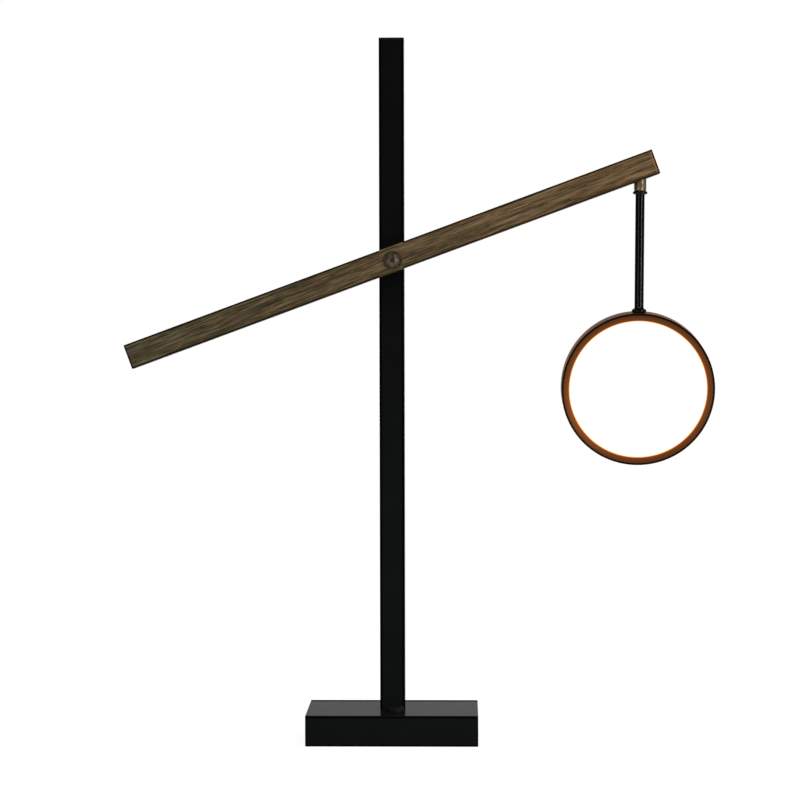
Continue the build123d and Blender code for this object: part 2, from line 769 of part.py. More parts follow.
with BuildPart() as arm_cap_right:
    with BuildSketch(arm_section.offset(tube_right)):
        RectangleRounded(arm_side, arm_side, arm_corner_radius)
    extrude(amount=arm_cap_thickness)
    with BuildSketch(arm_section.offset(tube_right)):
        Rectangle(arm_plug_side, arm_plug_side)
    extrude(amount=-arm_cap_plug)
arm_cap_right.part.label = "arm_cap_right"
export_step(arm_cap_right.part, "parts/arm_cap_right.step")

# Arm: bush that turns on the spindle, with a window for the lead
with BuildPart() as pivot_bush:
    bar(bush_plane, -arm_side / 2, arm_side / 2, bush_radius)
    bar(bush_plane, -arm_side / 2, arm_side / 2, spindle_radius + running_gap, Mode.SUBTRACT)
    block(
        bush_plane,
        -lead_slot_half,
        lead_slot_half,
        (0, -lead_slot_half),
        (bush_radius, lead_slot_half),
        Mode.SUBTRACT,
    )
pivot_bush.part.label = "pivot_bush"
export_step(pivot_bush.part, "parts/pivot_bush.step")

# Arm: bracket inside the tube and the pin that the hanger swings on
bracket_half = cheek_half + bracket_wall
with BuildPart() as hanger_bracket:
    with BuildSketch(arm_section.offset(slot_low)):
        Rectangle(2 * bracket_half, arm_inner)
        with Locations((0, -bracket_wall / 2)):
            Rectangle(2 * cheek_half, arm_inner - bracket_wall, mode=Mode.SUBTRACT)
    extrude(amount=slot_high - slot_low)
    with BuildSketch(arm_plane.offset(-bracket_half)):
        with Locations((hanger_reach, 0)):
            Circle(hanger_pin_radius + fixed_gap)
    extrude(amount=2 * bracket_half, mode=Mode.SUBTRACT)
hanger_bracket.part.label = "hanger_bracket"
export_step(hanger_bracket.part, "parts/hanger_bracket.step")

with BuildPart() as hanger_pin:
    bar(pin_plane, -arm_side / 2 + hanger_pin_recess, bracket_half, hanger_pin_radius)
hanger_pin.part.label = "hanger_pin"
export_step(hanger_pin.part, "parts/hanger_pin.step")

# Arm: lead from the spindle, down to the floor of the tube and along to the bracket
lead_floor_start = bush_radius + arm_side
lead_end = slot_low - part_gap
with BuildPart() as arm_lead:
    lead(
        [
            (pivot_x, -arm_back - part_gap / 2, pivot_height),
            (pivot_x, -arm_middle, pivot_height),
            tuple(bush_plane.from_local_coords((bush_radius + lead_bend_radius, 0, 0))),
            tuple(arm_plane.from_local_coords((lead_floor_start, -arm_lead_height, 0))),
            tuple(arm_plane.from_local_coords((lead_end, -arm_lead_height, 0))),
        ],
        [lead_bend_radius, arm_lead_bend_near, arm_lead_bend_far],
        lead_radius,
    )
arm_lead.part.label = "arm_lead"
export_step(arm_lead.part, "parts/arm_lead.step")

# Hanger: coupling with an eye at the top and a socket for the rod below
coupling_exit_z = coupling_bore_top - coupling_exit_below_top
exit_plane = Plane(
    origin=pin_plane.origin + pendant_up * coupling_exit_z,
    x_dir=(0, 1, 0),
    z_dir=-pendant_across,
)
swivel_screw_plane = Plane(
    origin=pin_plane.origin + pendant_up * swivel_screw_z,
    x_dir=-pendant_across,
    z_dir=(0, 1, 0),
)
with BuildPart() as hanger_coupling:
    bar(pendant_plane, coupling_foot, 0, coupling_radius)
    chamfer(hanger_coupling.faces().sort_by(pendant_axis)[0].edges(), coupling_edge)
    with Locations(pendant_plane):
        Sphere(coupling_radius)
    pin_hole = hanger_pin_radius + running_gap
    bar(pin_plane, -coupling_radius, coupling_radius, pin_hole, Mode.SUBTRACT)
    journal_bore = journal_radius + running_gap
    bar(pendant_plane, coupling_foot, coupling_bore_top, journal_bore, Mode.SUBTRACT)
    bar(exit_plane, 0, coupling_radius, coupling_exit_radius, Mode.SUBTRACT)
    screw_hole = swivel_screw_radius + fixed_gap
    bar(swivel_screw_plane, 0, coupling_radius, screw_hole, Mode.SUBTRACT)
hanger_coupling.part.label = "hanger_coupling"
export_step(hanger_coupling.part, "parts/hanger_coupling.step")

groove_radius = journal_radius - journal_groove_depth
with BuildPart() as swivel_screw:
    screw_tip = groove_radius + part_gap
    bar(swivel_screw_plane, screw_tip, coupling_radius - swivel_screw_recess, swivel_screw_radius)
swivel_screw.part.label = "swivel_screw"
export_step(swivel_screw.part, "parts/swivel_screw.step")

# Rod: journal, with a groove that leaves a stop for the grub screw
screw_half_angle = degrees(asin(swivel_screw_radius / (groove_radius + part_gap)))
groove_arc = 2 * (swivel_turn + screw_half_angle)
groove_start = swivel_screw_bearing - groove_arc / 2
groove_half = swivel_screw_radius + journal_groove_gap
stem_radius = rod_inner - fixed_gap
with BuildPart() as swivel_journal:
    bar(pendant_plane, rod_top, journal_top, journal_radius)
    bar(pendant_plane, rod_top - journal_stem, rod_top, stem_radius)
    groove_out = pendant_across.rotate(pendant_axis, groove_start)
    groove_plane = Plane(
        origin=swivel_screw_plane.origin, x_dir=groove_out, z_dir=groove_out.cross(pendant_up)
    )
    with BuildSketch(groove_plane):
        with Locations(((groove_radius + coupling_radius) / 2, 0)):
            Rectangle(coupling_radius - groove_radius, 2 * groove_half)
    revolve(axis=pendant_axis, revolution_arc=groove_arc, mode=Mode.SUBTRACT)
    stem_foot = rod_top - journal_stem
    bar(pendant_plane, stem_foot, journal_top, rod_lead_bore, Mode.SUBTRACT)
swivel_journal.part.label = "swivel_journal"
export_step(swivel_journal.part, "parts/swivel_journal.step")

# Rod: upper collar, a rounded bead
with BuildPart() as upper_collar:
    collar_half = collar_height / 2
    collar_plane = Plane(
        origin=pin_plane.origin + pendant_up * (rod_top - collar_half),
        x_dir=pendant_across,
        z_dir=forward,
    )
    collar_bore = rod_radius + fixed_gap
    with BuildSketch(collar_plane):
        with BuildLine():
            Polyline(
                (collar_shoulder_radius, -collar_half),
                (collar_bore, -collar_half),
                (collar_bore, collar_half),
                (collar_shoulder_radius, collar_half),
            )
            ThreePointArc(
                (collar_shoulder_radius, collar_half),
                (collar_radius, 0),
                (collar_shoulder_radius, -collar_half),
            )
        make_face()
    revolve(axis=pendant_axis)
upper_collar.part.label = "upper_collar"
export_step(upper_collar.part, "parts/upper_collar.step")

# Rod: tube, hollowed at its foot to clear the cap of the ball
with BuildPart() as rod_tube:
    bar(pendant_plane, ball_z, rod_top, rod_radius)
    bar(pendant_plane, ball_z, rod_top, rod_inner, Mode.SUBTRACT)
    with Locations(ball_plane):
        Sphere(cup_radius, mode=Mode.SUBTRACT)
rod_tube.part.label = "rod_tube"
export_step(rod_tube.part, "parts/rod_tube.step")

# Rod: ball, neck and stem
with BuildPart() as ball_stud:
    stud_top = ball_z + cup_radius + ball_stem
    bar(pendant_plane, ball_z, stud_top, stem_radius)
    with Locations(ball_plane):
        Sphere(cup_radius, mode=Mode.SUBTRACT)
    bar(pendant_plane, ball_z, ball_z + cup_radius, neck_radius)
    with Locations(ball_plane):
        Sphere(ball_radius)
    bar(pendant_plane, ball_z - ball_radius, stud_top, rod_lead_bore, Mode.SUBTRACT)
ball_stud.part.label = "ball_stud"
export_step(ball_stud.part, "parts/ball_stud.step")

with BuildPart() as rod_lead:
    lead_foot = ball_z - ball_radius - rod_lead_below_ball
    bar(pendant_plane, lead_foot, journal_top + rod_lead_above_journal, rod_lead_radius)
rod_lead.part.label = "rod_lead"
export_step(rod_lead.part, "parts/rod_lead.step")

# Light: socket that holds the ball, inside the rim and through it
socket_back = housing_floor + part_gap
socket_front = diffuser_back - part_gap
socket_top = sqrt(housing_inner**2 - (socket_width / 2) ** 2) - ball_to_middle
nose_top = ball_sink + socket_nose_height
with BuildPart() as socket_body:
    block(
        ball_plane,
        socket_back,
        socket_front,
        (-socket_width / 2, socket_top - socket_depth),
        (socket_width / 2, socket_top),
    )
    bar(neck_plane, socket_top - socket_depth / 2, nose_top, socket_nose_radius)
    bar(neck_plane, socket_top - socket_depth, nose_top, socket_lead_radius, Mode.SUBTRACT)
    bar(neck_plane, 0, nose_top, ball_seat, Mode.SUBTRACT)
    with Locations(neck_plane):
        Sphere(ball_seat, mode=Mode.SUBTRACT)
socket_body.part.label = "socket_body"
export_step(socket_body.part, "parts/socket_body.step")

# Light: lower collar, which screws over the ball and sits on the rim
nose_hole = socket_nose_radius + fixed_gap
cap_foot = ball_sink - (head_radius - sqrt(head_radius**2 - cap_foot_radius**2)) - fixed_gap
with BuildPart() as lower_collar:
    cap_edge = (cap_radius * sin(cap_edge_angle), cap_radius * cos(cap_edge_angle))
    crown_angle = (cap_edge_angle + asin(cap_mouth_radius / cap_radius)) / 2
    with BuildSketch(ball_plane):
        with BuildLine():
            Line((nose_hole, cap_foot), (cap_foot_radius, cap_foot))
            ThreePointArc(
                (cap_foot_radius, cap_foot),
                (collar_radius, cap_bulge_height),
                (cap_shoulder_radius, cap_shoulder_height),
            )
            Line((cap_shoulder_radius, cap_shoulder_height), cap_edge)
            ThreePointArc(
                cap_edge,
                (cap_radius * sin(crown_angle), cap_radius * cos(crown_angle)),
                (cap_mouth_radius, cap_mouth_height),
            )
            Polyline(
                (cap_mouth_radius, cap_mouth_height),
                (cap_lip_radius, lip_height),
                (nose_hole, lip_height),
                (nose_hole, cap_foot),
            )
        make_face()
    revolve(axis=Axis(ball_centre, head_up))
    bar(head_plane, head_back, head_front, head_radius, Mode.SUBTRACT)
lower_collar.part.label = "lower_collar"
export_step(lower_collar.part, "parts/lower_collar.step")

# Light: housing
with BuildPart() as head_housing:
    bar(head_plane, head_back, housing_front, head_radius)
    back_face = head_housing.faces().sort_by(Axis(head_centre, head_normal))[0]
    fillet(back_face.edges(), head_back_radius)
    bar(head_plane, housing_floor, housing_front, housing_inner, Mode.SUBTRACT)
    bar(neck_plane, -ball_radius, nose_top, nose_hole, Mode.SUBTRACT)
    with BuildSketch(head_plane.offset(housing_floor - board_screw_bite)):
        with PolarLocations(board_screw_circle, board_screws_count, start_angle=board_screw_start):
            Circle(board_screw_radius + fixed_gap)
    extrude(amount=board_screw_bite, mode=Mode.SUBTRACT)
head_housing.part.label = "head_housing"
export_step(head_housing.part, "parts/head_housing.step")

# Light: front ring with a sloping face, a lip over the diffuser and a skirt in the housing
bezel_inner = head_front - ring_thickness
with BuildPart() as trim_ring:
    with BuildSketch(Plane(origin=head_centre, x_dir=head_normal, z_dir=pendant_across)):
        with BuildLine():
            Polyline(
                (lip_back, ring_opening_radius),
                (bezel_inner, ring_opening_radius),
                (head_front, ring_front_radius),
                (housing_front + ring_edge_radius, head_radius),
                (housing_front, head_radius),
                (housing_front, skirt_radius),
                (housing_front - ring_skirt_depth, skirt_radius),
                (housing_front - ring_skirt_depth, skirt_radius - ring_skirt_wall),
                (lip_back, skirt_radius - ring_skirt_wall),
                close=True,
            )
        make_face()
    revolve(axis=Axis(head_centre, head_normal))
    block(
        ball_plane,
        socket_back,
        lip_back,
        (-socket_width / 2 - part_gap, socket_top - socket_depth),
        (socket_width / 2 + part_gap, head_radius),
        Mode.SUBTRACT,
    )
trim_ring.part.label = "trim_ring"
export_step(trim_ring.part, "parts/trim_ring.step")

diffuser_radius = skirt_radius - ring_skirt_wall - diffuser_gap
with BuildPart() as diffuser:
    bar(head_plane, diffuser_back, lip_back, diffuser_radius)
diffuser.part.label = "diffuser"
export_step(diffuser.part, "parts/diffuser.step")

# Light: reflector ring between the housing and the diffuser, notched round the socket
with BuildPart() as reflector_ring:
    bar(head_plane, housing_floor, diffuser_back, reflector_radius)
    reflector_inner = reflector_radius - reflector_wall
    bar(head_plane, housing_floor, diffuser_back, reflector_inner, Mode.SUBTRACT)
    notch_half = socket_width / 2 + reflector_notch_gap
    block(
        head_plane,
        housing_floor,
        diffuser_back,
        (-notch_half, 0),
        (notch_half, head_radius),
        Mode.SUBTRACT,
    )
reflector_ring.part.label = "reflector_ring"
export_step(reflector_ring.part, "parts/reflector_ring.step")

# Light: board, its screws and the diodes
with BuildPart() as led_board:
    with BuildSketch(head_plane.offset(housing_floor)):
        Circle(board_radius)
        with PolarLocations(board_screw_circle, board_screws_count, start_angle=board_screw_start):
            Circle(board_screw_radius + fixed_gap, mode=Mode.SUBTRACT)
    extrude(amount=board_thickness)
led_board.part.label = "led_board"
export_step(led_board.part, "parts/led_board.step")

with BuildPart() as board_screws:
    with BuildSketch(head_plane.offset(board_front)):
        with PolarLocations(board_screw_circle, board_screws_count, start_angle=board_screw_start):
            Circle(board_screw_head_radius)
    extrude(amount=board_screw_head)
    with BuildSketch(head_plane.offset(board_front)):
        with PolarLocations(board_screw_circle, board_screws_count, start_angle=board_screw_start):
            Circle(board_screw_radius)
    extrude(amount=-(board_thickness + board_screw_bite))
board_screws.part.label = "board_screws"
export_step(board_screws.part, "parts/board_screws.step")

with BuildPart() as led_chips:
    for ring in range(chip_ring_count):
        ring_radius = head_radius - chip_ring_inset - ring * chip_ring_step
        chips_in_ring = round(2 * pi * ring_radius / chip_pitch)
        with BuildSketch(head_plane.offset(board_front)):
            with PolarLocations(ring_radius, chips_in_ring):
                Rectangle(chip_side, chip_side)
        extrude(amount=chip_height)
led_chips.part.label = "led_chips"
export_step(led_chips.part, "parts/led_chips.step")

# Light: lead from the socket to the top of the board
lead_start = ball_to_middle + socket_top - socket_depth
lead_low = lead_start - head_lead_foot
with BuildPart() as head_lead:
    lead(
        [
            tuple(head_plane.from_local_coords((0, lead_start, 0))),
            tuple(head_plane.from_local_coords((0, lead_low, 0))),
            tuple(head_plane.from_local_coords((0, lead_low, board_front))),
        ],
        lead_bend_radius,
        rod_lead_radius,
    )
head_lead.part.label = "head_lead"
export_step(head_lead.part, "parts/head_lead.step")
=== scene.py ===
import json
import math

import bpy
from mathutils import Matrix, Vector

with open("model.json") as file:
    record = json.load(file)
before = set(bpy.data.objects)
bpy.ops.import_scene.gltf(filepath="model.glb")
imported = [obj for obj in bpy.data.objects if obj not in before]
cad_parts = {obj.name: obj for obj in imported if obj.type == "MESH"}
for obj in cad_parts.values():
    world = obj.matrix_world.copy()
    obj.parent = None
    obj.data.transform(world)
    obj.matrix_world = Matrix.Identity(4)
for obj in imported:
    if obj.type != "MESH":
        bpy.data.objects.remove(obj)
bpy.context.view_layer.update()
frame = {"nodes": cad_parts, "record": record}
nodes_by_name = frame["nodes"]

# Sizes of the object that the materials need, in metres and radians
base_top = 0.032
base_half_width = 0.0893
base_half_depth = 0.055
post_half = 0.013
arm_half = 0.013
arm_left = -0.2913
arm_right = 0.2887
arm_centre = (0.00125, -0.0272, 0.50212)
arm_tilt = math.radians(20.18)
streak_slant = math.radians(1.5)
pivot = (0.0017, -0.0272, 0.5009)
washer_radius = 0.0094
screw_radius = 0.0072
screw_socket_radius = 0.0023
light_centre = (0.25504, -0.01768, 0.36822)
light_tilt = math.radians(7.0)
light_opening = 0.0715
light_rim = 0.0793
light_front = -0.0117

# Middle range of a noise value, where nearly all of it lies
noise_low, noise_high = 0.3, 0.7


def srgb(r, g, b):
    """A colour written as 0 to 255 screen values, as the linear colour that a shader takes."""
    out = []
    for value in (r, g, b):
        c = value / 255
        out.append(c / 12.92 if c <= 0.04045 else ((c + 0.055) / 1.055) ** 2.4)
    return (*out, 1.0)


def minus(place):
    """The move that brings a place to the origin."""
    return tuple(-value for value in place)


class Nodes:
    """The node tree of a material or of the world."""

    def __init__(self, owner):
        owner.use_nodes = True
        self.tree = owner.node_tree

    def give(self, socket, value):
        """Link a node's output to a socket, or set the socket to a plain value."""
        if isinstance(value, bpy.types.NodeSocket):
            self.tree.links.new(value, socket)
        else:
            socket.default_value = value

    def node(self, kind, feed=None, **settings):
        """A node with its settings, fed with outputs of other nodes or plain values."""
        made = self.tree.nodes.new(kind)
        for key, value in settings.items():
            setattr(made, key, value)
        for socket, value in (feed or {}).items():
            self.give(made.inputs[socket], value)
        return made

    def math(self, operation, first, second=0):
        return self.node("ShaderNodeMath", {0: first, 1: second}, operation=operation).outputs[0]

    def split(self, vector):
        return self.node("ShaderNodeSeparateXYZ", {0: vector}).outputs

    def span(self, source, low, high, to_low, to_high):
        """source, spread from low..high to to_low..to_high and held there."""
        feed = {
            "Value": source,
            "From Min": low,
            "From Max": high,
            "To Min": to_low,
            "To Max": to_high,
        }
        return self.node("ShaderNodeMapRange", feed, clamp=True).outputs["Result"]


class Look(Nodes):
    """One procedural material, built around a Principled shader."""

    def __init__(self, name, color, roughness, metallic=0.0, specular=0.5):
        self.material = bpy.data.materials.new(name)
        super().__init__(self.material)
        self.shader = self.tree.nodes["Principled BSDF"]
        self.put("Base Color", color)
        self.put("Roughness", roughness)
        self.put("Metallic", metallic)
        self.put("Specular IOR Level", specular)

    def put(self, socket, value):
        self.give(self.shader.inputs[socket], value)

    def coords(self, scale=(1, 1, 1), turn=(0, 0, 0), move=(0, 0, 0)):
        """Object coordinates, moved, turned and then scaled."""
        made = self.node("ShaderNodeTexCoord").outputs["Object"]
        for key, value in (("Location", move), ("Rotation", turn), ("Scale", scale)):
            feed = {"Vector": made, key: value}
            made = self.node("ShaderNodeMapping", feed, vector_type="POINT").outputs[0]
        return made

    def noise(self, vector, scale=1.0, detail=3.0, rough=0.5, distortion=0.0):
        feed = {
            "Vector": vector,
            "Scale": scale,
            "Detail": detail,
            "Roughness": rough,
            "Distortion": distortion,
        }
        return self.node("ShaderNodeTexNoise", feed).outputs["Fac"]

    def ramp(self, source, stops):
        """A colour for each stop (place, colour)."""
        made = self.node("ShaderNodeValToRGB", {"Fac": source})
        elements = made.color_ramp.elements
        while len(elements) < len(stops):
            elements.new(0.5)
        for element, (place, color) in zip(elements, stops):
            element.position = place
            element.color = color
        return made.outputs["Color"]

    def rise(self, source, low, high, top=1.0):
        """0 below low, and top above high."""
        return self.span(source, low, high, 0.0, top)

    def fall(self, source, low, high, top=1.0):
        """top below low, and 0 above high."""
        return self.span(source, low, high, top, 0.0)

    def spread(self, noise, to_low, to_high):
        """A noise value, spread to a range of its own."""
        return self.span(noise, noise_low, noise_high, to_low, to_high)

    def off(self, source):
        """How far a value lies from 0 on either side."""
        return self.math("ABSOLUTE", source)

    def both(self, first, second):
        return self.math("MULTIPLY", first, second)

    def either(self, first, second):
        return self.math("MAXIMUM", first, second)

    def radius(self, first, second):
        """Distance from an axis, from the distances along the two others."""
        squares = self.math("ADD", self.math("POWER", first, 2), self.math("POWER", second, 2))
        return self.math("SQRT", squares)

    def along_arm(self, scale=(1, 1, 1), slant=0.0):
        """Coordinates along, through and across the arm from its middle, as it lies at rest."""
        return self.coords(scale, turn=(0, arm_tilt + slant, 0), move=minus(arm_centre))

    def streaks(self, stretch, **settings):
        """Noise drawn out along the arm, at the slight slant of its streaks."""
        return self.noise(self.along_arm(stretch, streak_slant), **settings)

    def in_light(self):
        """Distance from the light's own axis, and distance behind its middle."""
        place = self.coords(turn=(-light_tilt, 0, 0), move=minus(light_centre))
        x, y, z = self.split(place)
        return self.radius(x, z), y

    def blend(self, factor, first, second, kind="MIX"):
        feed = {0: factor, 6: first, 7: second}
        return self.node("ShaderNodeMix", feed, data_type="RGBA", blend_type=kind).outputs[2]

    def bump(self, height, strength, distance):
        feed = {"Height": height, "Strength": strength, "Distance": distance}
        self.put("Normal", self.node("ShaderNodeBump", feed).outputs["Normal"])


def satin_black():
    """Fine powder coat, a little lighter low down, with painted shade as dark lines along the
    edges and a painted shadow along the bottom of the base.
    """
    look = Look("satin_black", srgb(14, 15, 14), 0.2, specular=0.004)
    grain = look.noise(look.coords(), scale=1500, detail=2)
    cloud = look.noise(look.coords(), scale=14, detail=3)
    x, y, z = look.split(look.coords())
    high = look.ramp(cloud, [(0.35, srgb(13, 14, 13)), (0.65, srgb(16, 17, 16))])
    low = look.ramp(cloud, [(0.35, srgb(19, 21, 20)), (0.65, srgb(22, 24, 23))])
    on_post = look.rise(z, base_top + 0.0002, base_top + 0.002)
    post = look.blend(look.rise(z, 0.2, 0.6), low, high)
    tone = look.blend(on_post, low, post)

    # Painted shade: near-black lines along the post's corners, just under the base's top brink and
    # at its two sides, and a painted shadow along the bottom of the base.
    nearest_side = look.math("MINIMUM", look.off(x), look.off(y))
    post_edge_shade = look.both(look.rise(nearest_side, post_half - 0.0029, post_half - 0.0021), on_post)
    under_brink = look.off(look.math("SUBTRACT", z, base_top - 0.0018))
    base_edge_shade = look.fall(under_brink, 0.0004, 0.0012)
    foot_shadow = look.fall(z, 0.0012, 0.002)
    flank_shade = look.both(
        look.rise(look.off(x), base_half_width - 0.0019, base_half_width - 0.0012),
        look.fall(z, base_top - 0.001, base_top - 0.0005),
    )
    edge_shade = look.either(look.either(post_edge_shade, base_edge_shade), look.either(foot_shadow, flank_shade))
    look.put("Base Color", look.blend(edge_shade, tone, srgb(3, 3, 3)))

    back_edge = look.both(
        look.rise(y, base_half_depth - 0.012, base_half_depth - 0.008),
        look.rise(z, base_top - 0.002, base_top - 0.001),
    )
    rougher = look.both(back_edge, 0.5)
    look.put("Roughness", look.math("ADD", look.spread(grain, 0.17, 0.23), rougher))
    look.bump(grain, 0.1, 0.00001)
    return look.material


def brown_arm():
    """Fine olive and red-brown streaks along the arm under a satin lacquer, painted lighter and
    warmer towards the hanging light as painted light from the key, with a painted highlight by its
    end cap and painted shade along the edges.
    """
    look = Look("brown_arm", srgb(86, 72, 51), 0.5, specular=0.06)
    streak = look.streaks((14, 420, 560), detail=4, rough=0.62, distortion=0.1)
    red = look.streaks((18, 260, 360), scale=1.3, detail=3, rough=0.6, distortion=0.1)
    stroke = look.streaks((34, 900, 1150), detail=2, rough=0.6)
    glint = look.streaks((40, 900, 1200), scale=1.2, detail=2, rough=0.6)
    patch = look.streaks((9, 60, 80), detail=2)
    fine = look.streaks((90, 1400, 2000), detail=2, rough=0.6)
    along, through, across = look.split(look.along_arm())
    sideways = look.split(look.coords())["X"]
    # Painted light: towards the hanging light the streaks, the russet and the dark lines turn
    # lighter and warmer, as if lit more by the key light there.
    lit_right_half = look.rise(along, -0.2, 0.27)

    olive = look.ramp(
        streak,
        [
            (0.38, srgb(66, 58, 42)),
            (0.5, srgb(90, 82, 58)),
            (0.62, srgb(118, 107, 78)),
        ],
    )
    warm = look.ramp(
        streak,
        [
            (0.38, srgb(96, 74, 48)),
            (0.5, srgb(120, 98, 66)),
            (0.62, srgb(144, 120, 84)),
        ],
    )
    tone = look.blend(lit_right_half, olive, warm)
    russet = look.blend(lit_right_half, srgb(88, 66, 48), srgb(136, 94, 64))
    tone = look.blend(look.rise(red, 0.49, 0.6, 0.7), tone, russet)
    tone = look.blend(look.fall(patch, 0.4, 0.52, 0.22), tone, srgb(52, 42, 26))
    tone = look.blend(look.fall(stroke, 0.42, 0.55, 0.7), tone, srgb(38, 29, 16))
    tone = look.blend(look.rise(glint, 0.56, 0.68, 0.6), tone, srgb(156, 138, 104))

    # Painted highlight: a light band at the end cap's joint on the hanging-light side, as if
    # catching the light.
    seam_highlight = look.both(
        look.rise(along, arm_right - 0.0031, arm_right - 0.0027, 0.6),
        look.fall(along, arm_right - 0.0021, arm_right - 0.0017),
    )
    tone = look.blend(seam_highlight, tone, srgb(164, 118, 82))
    # Painted shade: dark lines along the arm's long sides and at both of its tips, faint where the
    # arm lies in front of the black post.
    edge_shade = look.both(
        look.rise(look.off(across), arm_half - 0.0021, arm_half - 0.0015),
        look.rise(look.off(through), arm_half - 0.0011, arm_half - 0.0007),
    )
    end_shade = look.either(
        look.rise(along, arm_right - 0.0017, arm_right - 0.0012),
        look.fall(along, arm_left + 0.0013, arm_left + 0.0018),
    )
    beside_post = look.off(sideways)
    strength = look.span(beside_post, post_half - 0.0012, post_half - 0.0004, 0.06, 0.96)
    edge_shade = look.both(look.either(edge_shade, end_shade), strength)
    edge_shade_tone = look.blend(lit_right_half, srgb(17, 12, 4), srgb(38, 22, 6))
    look.put("Base Color", look.blend(edge_shade, tone, edge_shade_tone))
    look.put("Roughness", look.spread(fine, 0.42, 0.6))
    look.bump(fine, 0.2, 0.00005)
    return look.material


def bronze():
    """Dark bronze with fine turning marks and tarnish, patchy and darker at the pivot, with
    painted shade in the screw's socket and around the screw head.
    """
    look = Look("bronze", srgb(104, 86, 64), 0.5, metallic=0.5, specular=0.3)
    marks = look.noise(look.coords((900, 900, 5000)), detail=2)
    tarnish = look.noise(look.coords(), scale=260, detail=3)
    patch = look.noise(look.coords(move=(0.003, 0, 0.002)), scale=420, detail=2, rough=0.6)
    hue = look.noise(look.coords(move=(0.01, 0, 0.004)), scale=300, detail=1)
    tone = look.ramp(tarnish, [(noise_low, srgb(92, 76, 56)), (noise_high, srgb(128, 108, 82))])

    x, _, z = look.split(look.coords(move=minus(pivot)))
    radius = look.radius(x, z)
    at_pivot = look.fall(radius, washer_radius + 0.0016, washer_radius + 0.0026)
    pivot_patches_and_shade = look.ramp(
        patch,
        [
            (0.36, srgb(50, 40, 28)),
            (0.5, srgb(84, 68, 52)),
            (0.64, srgb(122, 98, 84)),
        ],
    )
    pivot_patches_and_shade = look.blend(look.rise(hue, 0.5, 0.62, 0.7), pivot_patches_and_shade, srgb(78, 76, 56))
    # Painted shade: the screw's socket is darkened as a recess, and the ring around the screw head
    # is painted dark as the shadow around it.
    socket = look.fall(radius, screw_socket_radius - 0.0002, screw_socket_radius + 0.0004, 0.75)
    pivot_patches_and_shade = look.blend(socket, pivot_patches_and_shade, srgb(30, 22, 14))
    washer_shade = look.rise(radius, screw_radius - 0.0001, screw_radius + 0.0003, 0.85)
    washer_shade_tone = look.blend(look.rise(patch, 0.42, 0.6), srgb(36, 26, 17), srgb(64, 50, 34))
    pivot_patches_and_shade = look.blend(washer_shade, pivot_patches_and_shade, washer_shade_tone)
    look.put("Base Color", look.blend(at_pivot, tone, pivot_patches_and_shade))
    duller = look.both(at_pivot, 0.05)
    look.put("Roughness", look.math("ADD", look.spread(marks, 0.32, 0.44), duller))
    look.bump(marks, 0.1, 0.00002)
    return look.material


def light_bronze():
    """The light's shell: brown bronze. Its sloping front has the diffuser's glow painted into its
    colour and emission, lighter low down, fading to painted shade at the rim.
    """
    look = Look("light_bronze", srgb(98, 68, 46), 0.38, metallic=0.5, specular=0.1)
    look.put("Specular Tint", srgb(206, 158, 84))
    grain = look.noise(look.coords(), scale=1800, detail=2)
    cloud = look.noise(look.coords(), scale=35, detail=3)
    shell = look.ramp(cloud, [(noise_low, srgb(108, 79, 49)), (noise_high, srgb(115, 85, 54))])
    radius, behind = look.in_light()
    height = look.split(look.coords())["Z"]

    # Painted light: orange next to the opening, as if lit by the diffuser, falling to painted
    # shade near the rim.
    slope_glow_and_shade = look.ramp(
        look.rise(radius, light_opening - 0.0007, light_rim - 0.0002),
        [
            (0.0, srgb(220, 150, 92)),
            (0.08, srgb(150, 82, 30)),
            (0.17, srgb(116, 54, 14)),
            (0.30, srgb(108, 56, 22)),
            (0.50, srgb(94, 57, 32)),
            (0.66, srgb(88, 56, 36)),
            (0.73, srgb(78, 47, 29)),
            (0.80, srgb(38, 14, 2)),
            (0.87, srgb(24, 7, 0)),
            (1.0, srgb(16, 4, 0)),
        ],
    )
    # Painted light: the lower part of the sloping front is made lighter, as if the diffuser's glow
    # fell more strongly there.
    low = look.fall(height, 0.3, 0.44)
    slope_glow_and_shade = look.blend(low, slope_glow_and_shade, (1.4, 1.36, 1.32, 1.0), "MULTIPLY")
    front = look.fall(behind, light_front + 0.0009, light_front + 0.0016)
    bezel = look.both(
        look.fall(radius, light_rim - 0.0012, light_rim - 0.0009),
        look.fall(behind, light_front + 0.0029, light_front + 0.0031),
    )
    look.put("Base Color", look.blend(look.either(front, bezel), shell, slope_glow_and_shade))

    # Painted glow: the bezel emits orange light near the opening in place of the diffuser's light
    # falling on it, though the bezel is no lamp.
    glow = look.ramp(
        look.rise(radius, light_opening - 0.0007, light_opening + 0.0035),
        [
            (0.0, srgb(170, 96, 44)),
            (0.2, srgb(84, 34, 8)),
            (0.5, srgb(40, 14, 3)),
            (1.0, srgb(0, 0, 0)),
        ],
    )
    look.put("Emission Color", look.blend(bezel, srgb(0, 0, 0), glow))
    look.put("Emission Strength", 1.0)
    look.put("Roughness", look.spread(grain, 0.33, 0.44))
    look.bump(grain, 0.12, 0.00002)
    return look.material


def gloss_black():
    """Gloss black with faint marks of drawing along the rod."""
    look = Look("gloss_black", srgb(3, 3, 3), 0.14, specular=0.13)
    drawn = look.noise(look.coords((700, 700, 10)), detail=1)
    look.put("Roughness", look.spread(drawn, 0.13, 0.16))
    look.bump(drawn, 0.01, 0.00001)
    return look.material


